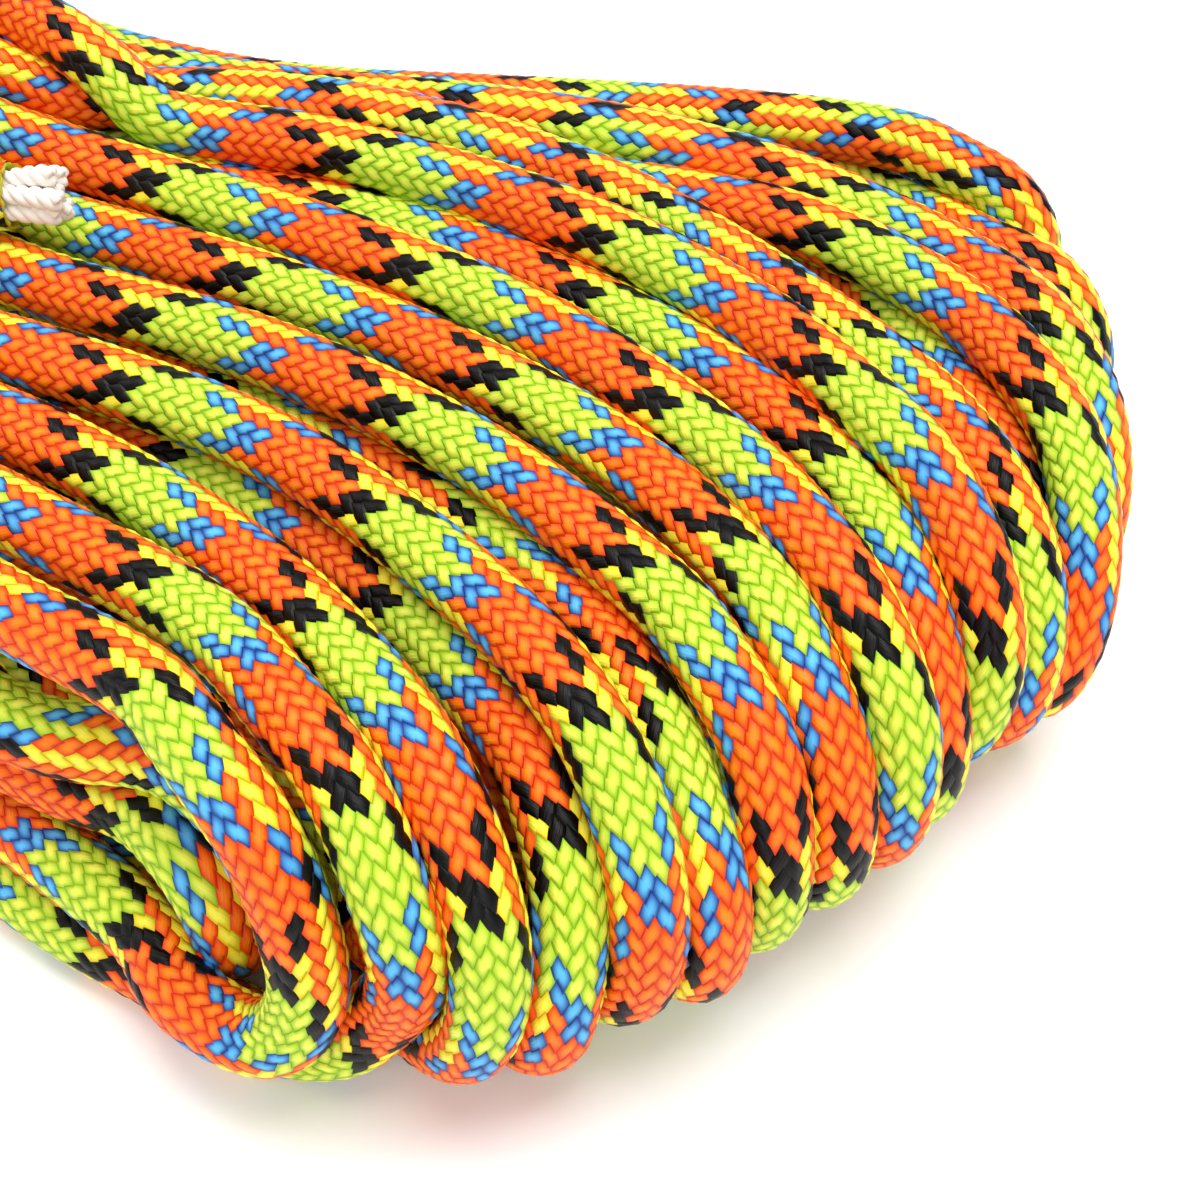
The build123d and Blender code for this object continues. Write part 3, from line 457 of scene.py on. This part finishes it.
def sheath_material():
    mat = bpy.data.materials.new("sheath")
    g = Nodes(mat)
    uvn = g.t.nodes.new("ShaderNodeUVMap")
    uvn.uv_map = "OFBake"
    sep = g.t.nodes.new("ShaderNodeSeparateXYZ")
    g.link(uvn.outputs[0], sep.inputs[0])
    u, v = sep.outputs[0], sep.outputs[1]
    m = g.m
    # Cell coordinates of the 2/2 braid: one set of strands runs along ca, the other along cb.
    M = m("MULTIPLY_ADD", u, 32.0, -0.5)
    L = m("MULTIPLY", v, 32.0)
    ca = m("MULTIPLY", m("ADD", m("ADD", L, M), 1.0), 0.5)
    cb = m("MULTIPLY", m("ADD", m("SUBTRACT", L, M), 1.0), 0.5)
    ia, ib = m("FLOOR", ca), m("FLOOR", cb)
    fa, fb = m("SUBTRACT", ca, ia), m("SUBTRACT", cb, ib)
    q = m("FLOORED_MODULO", m("SUBTRACT", ia, ib), 4.0)
    on_s = m("LESS_THAN", q, 1.5)
    odd = m("FLOORED_MODULO", q, 2.0)
    # x runs along a float from -1 to 1, y across it
    xs = m("ADD", m("SUBTRACT", fa, 1.0), odd)
    xz = m("SUBTRACT", fb, odd)
    ys = m("MULTIPLY_ADD", fb, 2.0, -1.0)
    yz = m("MULTIPLY_ADD", fa, 2.0, -1.0)

    def choose(f, a_, b_):
        return m("ADD", m("MULTIPLY", f, a_), m("MULTIPLY", m("SUBTRACT", 1.0, f), b_))

    # each float swells sideways over the ends of those that dive under it
    e = choose(on_s, m("MULTIPLY_ADD", odd, m("MULTIPLY_ADD", fa, -2.0, 1.0), fa),
               m("MULTIPLY_ADD", odd, m("MULTIPLY_ADD", fb, 2.0, -1.0), m("SUBTRACT", 1.0, fb)))
    xn = choose(on_s, m("ADD", m("SUBTRACT", fb, 1.0), odd), m("SUBTRACT", fa, odd))
    swell = m("MULTIPLY", m("COSINE", m("MULTIPLY", xn, math.pi / 2)), SWELL)
    covered = m("LESS_THAN", e, swell)
    side = m("MULTIPLY", m("MULTIPLY_ADD", odd, -2.0, 1.0), m("MULTIPLY_ADD", on_s, 2.0, -1.0))
    y_c = m("MULTIPLY", side, m("DIVIDE", m("MULTIPLY_ADD", e, 2.0, 1.0), m("MULTIPLY_ADD", swell, 2.0, 1.0)))
    x_u, y_u = choose(on_s, xs, xz), choose(on_s, ys, yz)
    bulge = m("MULTIPLY", m("LESS_THAN", m("MULTIPLY", x_u, y_u), 0.0),
              m("MULTIPLY", m("COSINE", m("MULTIPLY", x_u, math.pi / 2)), 2 * SWELL))
    y_u = m("DIVIDE", y_u, m("ADD", bulge, 1.0))
    x, y = choose(covered, xn, x_u), choose(covered, y_c, y_u)
    own_u = choose(on_s, ib, ia)
    own_c = choose(on_s, m("MULTIPLY_ADD", odd, 2.0, m("SUBTRACT", ia, 1.0)), m("MULTIPLY_ADD", odd, -2.0, m("ADD", ib, 1.0)))
    own = m("FLOORED_MODULO", choose(covered, own_c, own_u), 16.0)
    # the first strand that the float crosses
    fst_u = choose(on_s, m("SUBTRACT", ia, odd), m("SUBTRACT", ib, m("SUBTRACT", 1.0, odd)))
    fst_c = choose(on_s, m("SUBTRACT", ib, odd), m("ADD", m("SUBTRACT", ia, 1.0), odd))
    oth = m("FLOORED_MODULO", choose(covered, fst_c, fst_u), 16.0)
    on_s = m("ABSOLUTE", m("SUBTRACT", on_s, covered))

    def ramp(idx, cols, interp="CONSTANT"):
        n = g.t.nodes.new("ShaderNodeValToRGB")
        n.color_ramp.interpolation = interp
        el = n.color_ramp.elements
        while len(el) > 1:
            el.remove(el[-1])
        el[0].position = 0.0
        el[0].color = cols[0][1]
        for p, col in cols[1:]:
            e = el.new(p)
            e.color = col
        g.link(m("MULTIPLY_ADD", idx, 1 / 16, 0.5 / 16), n.inputs[0])
        return n.outputs[0]

    W, K = (1, 1, 1, 1), (0, 0, 0, 1)
    base = ramp(own, [(0, ORANGE), (6 / 16, BLACK), (8 / 16, LIME), (14 / 16, BLUE)])
    # lighter copies of the carriers' colours, painted on as highlights
    painted_highlight_colour = ramp(own, [(0, ORANGE_PAINTED_HIGHLIGHT), (6 / 16, BLACK_PAINTED_HIGHLIGHT), (8 / 16, LIME_PAINTED_HIGHLIGHT), (14 / 16, BLUE_PAINTED_HIGHLIGHT)])
    is_lime = ramp(own, [(0, K), (8 / 16, W), (14 / 16, K)])
    oth_orange = ramp(oth, [(0, W), (6 / 16, K)])
    is_black = ramp(own, [(0, K), (6 / 16, W), (8 / 16, K)])
    yellow = m("MULTIPLY", is_lime, oth_orange)
    # a random number for each pick, the same in every repeat: it sets how bright the pick's painted highlight is
    # and shifts its filament lines
    comb = g.t.nodes.new("ShaderNodeCombineXYZ")
    g.link(m("MULTIPLY_ADD", on_s, 16.0, own), comb.inputs[0])
    g.link(oth, comb.inputs[1])
    wn = g.t.nodes.new("ShaderNodeTexWhiteNoise")
    wn.noise_dimensions = "2D"
    g.link(comb.outputs[0], wn.inputs[0])
    rnd = wn.outputs[0]
    # crown of the float, 1 in its middle and 0 at its rim
    hx = m("SQRT", m("MAXIMUM", m("SUBTRACT", 1.0, m("MULTIPLY", m("MULTIPLY", x, x), 0.95)), 0.0))
    hy = m("SQRT", m("MAXIMUM", m("SUBTRACT", 1.0, m("MULTIPLY", m("MULTIPLY", y, y), 0.90)), 0.0))
    crown = m("MULTIPLY", hx, hy)
    # painted highlight: towards the crown of each float its colour is mixed to the lighter copy, by a random
    # amount per pick
    painted_highlight_amount = m("MULTIPLY", m("POWER", crown, 2.6), m("MULTIPLY_ADD", rnd, 0.40, 0.75), clamp=True)
    col = g.mix(painted_highlight_amount, base, painted_highlight_colour)
    # lime floats over orange strands are tinted yellow, with the same painted highlight
    col = g.mix(m("MULTIPLY", yellow, 0.85), col, g.mix(painted_highlight_amount, YELLOW, YELLOW_PAINTED_HIGHLIGHT))
    # filament lines along each strand
    fil = m("SINE", m("MULTIPLY", y, 14.0))
    fil2 = m("SINE", m("MULTIPLY_ADD", y, 31.0, m("MULTIPLY", rnd, 6.0)))
    filament = m("ADD", m("MULTIPLY", fil, 0.6), m("MULTIPLY", fil2, 0.4))
    # painted shade: each float's colour is darkened towards its rim, and faint filament lines are laid over it
    painted_rim_shade = m("POWER", m("SUBTRACT", 1.0, crown), 2.0)
    rim_shade_and_filament = m("SUBTRACT", m("MULTIPLY_ADD", filament, 0.04, 1.0), m("MULTIPLY", painted_rim_shade, 0.24))
    mul = g.t.nodes.new("ShaderNodeVectorMath")
    mul.operation = "SCALE"
    g.link(col, mul.inputs[0])
    g.link(rim_shade_and_filament, mul.inputs[3])
    g.link(mul.outputs[0], g.bsdf.inputs["Base Color"])
    # relief
    h = m("ADD", crown, m("MULTIPLY", filament, 0.03))
    bump = g.t.nodes.new("ShaderNodeBump")
    bump.inputs["Strength"].default_value = 1.0
    bump.inputs["Distance"].default_value = 0.00022
    g.link(h, bump.inputs["Height"])
    g.link(bump.outputs[0], g.bsdf.inputs["Normal"])
    g.bsdf.inputs["Roughness"].default_value = 0.42
    g.bsdf.inputs["Specular IOR Level"].default_value = 0.22
    return mat


def plain(name, hexcol, rough=0.6, spec=0.4, sss=0.0):
    mat = bpy.data.materials.new(name)
    g = Nodes(mat)
    g.bsdf.inputs["Base Color"].default_value = srgb(hexcol)
    g.bsdf.inputs["Roughness"].default_value = rough
    g.bsdf.inputs["Specular IOR Level"].default_value = spec
    return mat, g


# ---------------------------------------------------------------- camera, first
cam = bpy.data.cameras.new("camera")
cam.sensor_fit = "HORIZONTAL"
cam.sensor_width = 36.0
cam.lens = 60.0
cam.clip_start = 0.005
cam.clip_end = 20.0
cam_ob = bpy.data.objects.new("camera", cam)
bpy.context.collection.objects.link(cam_ob)
fwd = Vector((-0.352, 0.564, -0.747)).normalized()
right = Vector((0.848, 0.530, 0.0)).normalized()
fwd = (fwd - right * fwd.dot(right)).normalized()
up = right.cross(fwd)
rot = Matrix((right, up, -fwd)).transposed()
cam_ob.matrix_world = Matrix.Translation(Vector(CAM_POS) * MM) @ rot.to_4x4()
bpy.context.scene.camera = cam_ob

# ---------------------------------------------------------------- the cord
line = nurbs_line(ROUTE, "cord_line")
su, centre = resample(line, 0.0004)
total = su[-1]
tan_, nor_, bin_ = transport(centre)

ph = np.array(PHASE, float)
s_tab = np.linspace(0, total, 20001)


def smooth_table(s, col):
    """Smooth values between the table's rows."""
    ps, pv = ph[:, 0] * MM, ph[:, col]
    if len(ps) < 3:
        return np.interp(s, ps, pv)
    d = np.diff(pv) / np.diff(ps)
    mtan = np.r_[d[0], 0.5 * (d[1:] + d[:-1]), d[-1]]
    i = np.clip(np.searchsorted(ps, s) - 1, 0, len(ps) - 2)
    h = ps[i + 1] - ps[i]
    t = np.clip((s - ps[i]) / h, -0.5, 1.5)
    return ((2 * t**3 - 3 * t**2 + 1) * pv[i] + (t**3 - 2 * t**2 + t) * h * mtan[i]
            + (-2 * t**3 + 3 * t**2) * pv[i + 1] + (t**3 - t**2) * h * mtan[i + 1])


v_tab = smooth_table(s_tab, 1)
roll_tab = smooth_table(s_tab, 2)

NCOL = CARRIERS
L_lo, L_hi = v_tab[0] * 32, v_tab[-1] * 32
n0 = int(math.ceil(L_lo + 1.0))
n1 = int(math.floor(L_hi - 1.0))
rings = np.arange(n0, n1 + 1)
M_i = np.arange(NCOL + 1) - 0.5
Lv = rings[:, None] + 0.5 + 0.0 * M_i[None, :]
u_i = (M_i + 0.5) / NCOL


def relief(M, L):
    """Height of the braid, 0 to 1, at pattern coordinates M round and L along."""
    a_, b_ = (L + M + 1) / 2, (L - M + 1) / 2
    ia, ib = np.floor(a_), np.floor(b_)
    fa, fb = a_ - ia, b_ - ib
    q = np.mod(ia - ib, 4)
    odd = np.mod(q, 2)
    on_s = q < 1.5
    x = np.where(on_s, fa - 1 + odd, fb - odd)
    y = np.where(on_s, 2 * fb - 1, 2 * fa - 1)
    e = np.where(on_s, fa + odd * (1 - 2 * fa), 1 - fb + odd * (2 * fb - 1))
    xn = np.where(on_s, fb - 1 + odd, fa - odd)
    sw = SWELL * np.cos(xn * math.pi / 2)
    y = y / (1 + np.where(x * y < 0, 2 * SWELL * np.cos(x * math.pi / 2), 0))
    yc = (1 + 2 * e) / (1 + 2 * sw)
    x, y = np.where(e < sw, xn, x), np.where(e < sw, yc, y)
    return np.sqrt(np.maximum(1 - 0.85 * x**2, 0)) * np.sqrt(np.maximum(1 - 0.75 * y**2, 0))


def soft_relief(M, L):
    """The relief averaged over a small patch, so a coarse mesh follows it smoothly."""
    return sum(relief(M + dm, L + dl) for dm in (-0.3, 0.0, 0.3) for dl in (-0.3, 0.0, 0.3)) / 9


crown = soft_relief(M_i[None, :], Lv)
RADIUS = D / 2 - 0.03 + 0.22 * (crown - 0.62)


def surface(Lq, uq, rad):
    """Points of the sheath at pattern height Lq, round fraction uq and radius rad (mm)."""
    s = np.interp(Lq / 32, v_tab, s_tab)
    roll = np.interp(s, s_tab, roll_tab)
    a = 2 * math.pi * (uq + roll)
    c = np.stack([np.interp(s, su, centre[:, i]) for i in range(3)], -1)
    n = np.stack([np.interp(s, su, nor_[:, i]) for i in range(3)], -1)
    b = np.stack([np.interp(s, su, bin_[:, i]) for i in range(3)], -1)
    n /= np.linalg.norm(n, axis=-1, keepdims=True)
    b /= np.linalg.norm(b, axis=-1, keepdims=True)
    return c + (n * np.cos(a)[..., None] + b * np.sin(a)[..., None]) * (rad * MM)[..., None]


uq = np.broadcast_to(u_i[None, :NCOL], (len(rings), NCOL))
P = surface(Lv[:, :NCOL], uq, RADIUS[:, :NCOL])
nr = len(rings)
verts = P.reshape(-1, 3)
idx = np.arange(nr * NCOL).reshape(nr, NCOL)
nxt = np.roll(idx, -1, axis=1)
quads = np.stack([idx[:-1], nxt[:-1], nxt[1:], idx[1:]], -1).reshape(-1, 4)

me = bpy.data.meshes.new("cord_sheath")
me.vertices.add(len(verts))
me.vertices.foreach_set("co", verts.ravel())
me.loops.add(len(quads) * 4)
me.loops.foreach_set("vertex_index", quads.ravel().astype(np.int32))
me.polygons.add(len(quads))
me.polygons.foreach_set("loop_start", np.arange(len(quads), dtype=np.int32) * 4)
me.update(calc_edges=True)
me.polygons.foreach_set("use_smooth", np.ones(len(quads), bool))
uv = me.uv_layers.new(name="OFBake")
lu = np.tile(np.arange(NCOL), nr - 1).reshape(nr - 1, NCOL)
U4 = np.stack([u_i[lu], u_i[lu + 1], u_i[lu + 1], u_i[lu]], -1)
LV = Lv / 32.0
V4 = np.stack([LV[:-1, :-1], LV[:-1, 1:], LV[1:, 1:], LV[1:, :-1]], -1)
v_base = math.floor(LV.min()) + 1
uvs = np.stack([U4.reshape(-1), (V4 - v_base - 0.0).reshape(-1)], -1).astype(np.float32)
uv.data.foreach_set("uv", uvs.ravel())
me.validate(verbose=False)
sheath = bpy.data.objects.new("cord_sheath", me)
bpy.context.collection.objects.link(sheath)
me.materials.append(sheath_material())

s_end = float(np.interp((rings[-1] + 0.5) / 32, v_tab, s_tab))

# ---------------------------------------------------------------- ends of the cord
def tube_mesh(line_m, radii, sides=12, caps=True):
    """A round tube along points (metres), closed with flat caps at both ends when caps is set."""
    t, n, b = transport(line_m)
    a = np.linspace(0, 2 * math.pi, sides, endpoint=False)
    vs, fs = [], []
    for i in range(len(line_m)):
        ring = line_m[i] + (n[i] * np.cos(a)[:, None] + b[i] * np.sin(a)[:, None]) * radii[i]
        vs += [tuple(p) for p in ring]
    m_ = len(line_m)
    for i in range(m_ - 1):
        for j in range(sides):
            k2 = (j + 1) % sides
            fs.append((i * sides + j, i * sides + k2, (i + 1) * sides + k2, (i + 1) * sides + j))
    if caps:
        fs.append(tuple(reversed(range(sides))))
        fs.append(tuple(range((m_ - 1) * sides, m_ * sides)))
    return vs, fs


def join_parts(name, parts):
    vs, fs = [], []
    for v_, f_ in parts:
        o_ = len(vs)
        vs += v_
        fs += [tuple(i + o_ for i in f) for f in f_]
    return new_mesh(name, vs, fs)


rng = np.random.default_rng(7)
te, ne, be = tan_[-1], nor_[-1], bin_[-1]
end_c = np.array([np.interp(s_end, su, centre[:, i]) for i in range(3)])
core_mat, cg = plain("core", "#F4ECE4", 0.75, 0.25)
IN, OUT = 4.0, 2.95
for y_i in range(7):
    ang0 = math.pi / 3 * y_i
    out_len = OUT + (0.0, 0.3, -0.35, 0.1, -0.2, 0.25, -0.1)[y_i]
    ts = np.linspace(-IN, out_len, 60)
    spread = np.interp(ts, [-IN, -0.5, 1.2, out_len], [0.93, 0.95, 1.16, 1.26])
    swing = 0.10 * ts
    rr = 0.0 if y_i == 0 else 1.0
    axis_pts = []
    wob = rng.normal(0, 0.05, 2)
    for t_, sp_, sw_ in zip(ts, spread, swing):
        aa = ang0 + sw_
        off = ne * (math.cos(aa) * sp_ * rr + wob[0] * max(t_, 0)) + be * (math.sin(aa) * sp_ * rr + wob[1] * max(t_, 0))
        axis_pts.append(end_c + (te * t_ + off) * MM)
    axis_pts = np.array(axis_pts)
    parts = []
    t2, n2, b2 = transport(axis_pts)
    for ply in range(3):
        pa = 2 * math.pi * (ply / 3 + ts / 2.3) + y_i
        po = np.interp(ts, [-IN, 0, out_len], [0.24, 0.28, 0.34])
        pl = axis_pts + (n2 * np.cos(pa)[:, None] + b2 * np.sin(pa)[:, None]) * (po * MM)[:, None]
        pr = np.interp(ts, [-IN, 0, out_len - 0.4, out_len], [0.25, 0.29, 0.35, 0.30]) * MM
        parts.append(tube_mesh(pl, pr, 10))
    yo = join_parts(f"core_yarn_{y_i + 1}_plies", parts)
    yo.data.materials.append(core_mat)
    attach(yo, "root")
    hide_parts(f"core_yarn_{y_i + 1}")

# cut rim of the sheath round the core yarns
lip_prof = [(-1.4, 1.66), (-0.2, 1.68), (0.06, 1.74), (0.08, 1.84), (0.0, 1.92), (-0.5, 1.90)]
vs, fs = [], []
for i, (t_, r_) in enumerate(lip_prof):
    for j in range(48):
        a_ = 2 * math.pi * j / 48
        fray = 0.07 * math.sin(16 * a_) + 0.05 * math.sin(9 * a_ + 1) if i > 0 else 0.0
        vs.append(tuple(end_c + (te * (t_ + fray) + (ne * math.cos(a_) + be * math.sin(a_)) * r_) * MM))
for i in range(len(lip_prof) - 1):
    for j in range(48):
        k2 = (j + 1) % 48
        fs.append((i * 48 + j, i * 48 + k2, (i + 1) * 48 + k2, (i + 1) * 48 + j))
lip = new_mesh("cut_rim", vs, fs)
lip_mat, _ = plain("cut_sheath", "#B4B42A", 0.8, 0.2)
lip.data.materials.append(lip_mat)
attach(lip, "root")
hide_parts("tail_end")

# heat sealed tip at the start
ts0, ns0, bs0 = tan_[0], nor_[0], bin_[0]
prof = [(0.6, 1.96), (0.0, 1.99), (-0.8, 1.97), (-2.2, 1.90), (-3.4, 1.84), (-4.1, 1.70), (-4.6, 1.35), (-4.85, 0.8), (-4.95, 0.02)]
vs, fs = [], []
SEG = 40
for i, (t_, r_) in enumerate(prof):
    for j in range(SEG):
        a_ = 2 * math.pi * j / SEG
        bump_ = 1 + 0.02 * math.sin(3 * a_ + i) + 0.015 * math.sin(7 * a_ - 2 * i)
        vs.append(tuple(centre[0] + (ts0 * t_ + (ns0 * math.cos(a_) + bs0 * math.sin(a_)) * r_ * bump_) * MM))
for i in range(len(prof) - 1):
    for j in range(SEG):
        k2 = (j + 1) % SEG
        fs.append((i * SEG + j, (i + 1) * SEG + j, (i + 1) * SEG + k2, i * SEG + k2))
tip = new_mesh("sealed_tip_melt", vs, fs)
tip_mat, tg = plain("sealed", "#4A3418", 0.35, 0.5)
tip.data.materials.append(tip_mat)
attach(tip, "root")
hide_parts("sealed_tip")

ringc = np.interp((rings + 0.5) / 32, v_tab, s_tab)
path = np.stack([np.interp(ringc, su, centre[:, i]) for i in range(3)], -1)

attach(sheath, "root")
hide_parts("hank_coil", "waist_wraps", "tail_end", "start_end")

# ---------------------------------------------------------------- floor, light
fl_mat, g = plain("floor_white", "#FFFFFF", 0.9, 0.0)
floor = new_mesh("floor", [(-3, -3, -0.0001), (3, -3, -0.0001), (3, 3, -0.0001), (-3, 3, -0.0001)], [(0, 1, 2, 3)], False)
floor.data.materials.append(fl_mat)

world = bpy.data.worlds.new("world")
bpy.context.scene.world = world
world.use_nodes = True
bg = world.node_tree.nodes["Background"]
bg.inputs[0].default_value = (1.0, 1.0, 1.0, 1.0)
bg.inputs[1].default_value = 0.32


def area(name, loc, target, size, power, color=(1, 1, 1)):
    li = bpy.data.lights.new(name, "AREA")
    li.shape = "RECTANGLE"
    li.size, li.size_y = size
    li.energy = power
    li.color = color
    ob = bpy.data.objects.new(name, li)
    bpy.context.collection.objects.link(ob)
    d = Vector(target) - Vector(loc)
    ob.matrix_world = Matrix.Translation(loc) @ d.to_track_quat("-Z", "Y").to_matrix().to_4x4()
    return ob


area("key", (0.10, 0.15, 0.75), (0.03, 0.0, 0.0), (0.6, 0.6), 6.6)
area("front", (0.45, -0.55, 0.55), (0.03, 0.0, 0.0), (0.7, 0.7), 3.6)
area("left", (-0.7, -0.1, 0.5), (0.0, 0.0, 0.0), (0.6, 0.6), 2.4)

bpy.context.scene.view_settings.view_transform = "Standard"
bpy.context.scene.view_settings.look = "None"
bpy.context.scene.view_settings.exposure = 0.0
bpy.context.scene.view_settings.gamma = 1.0
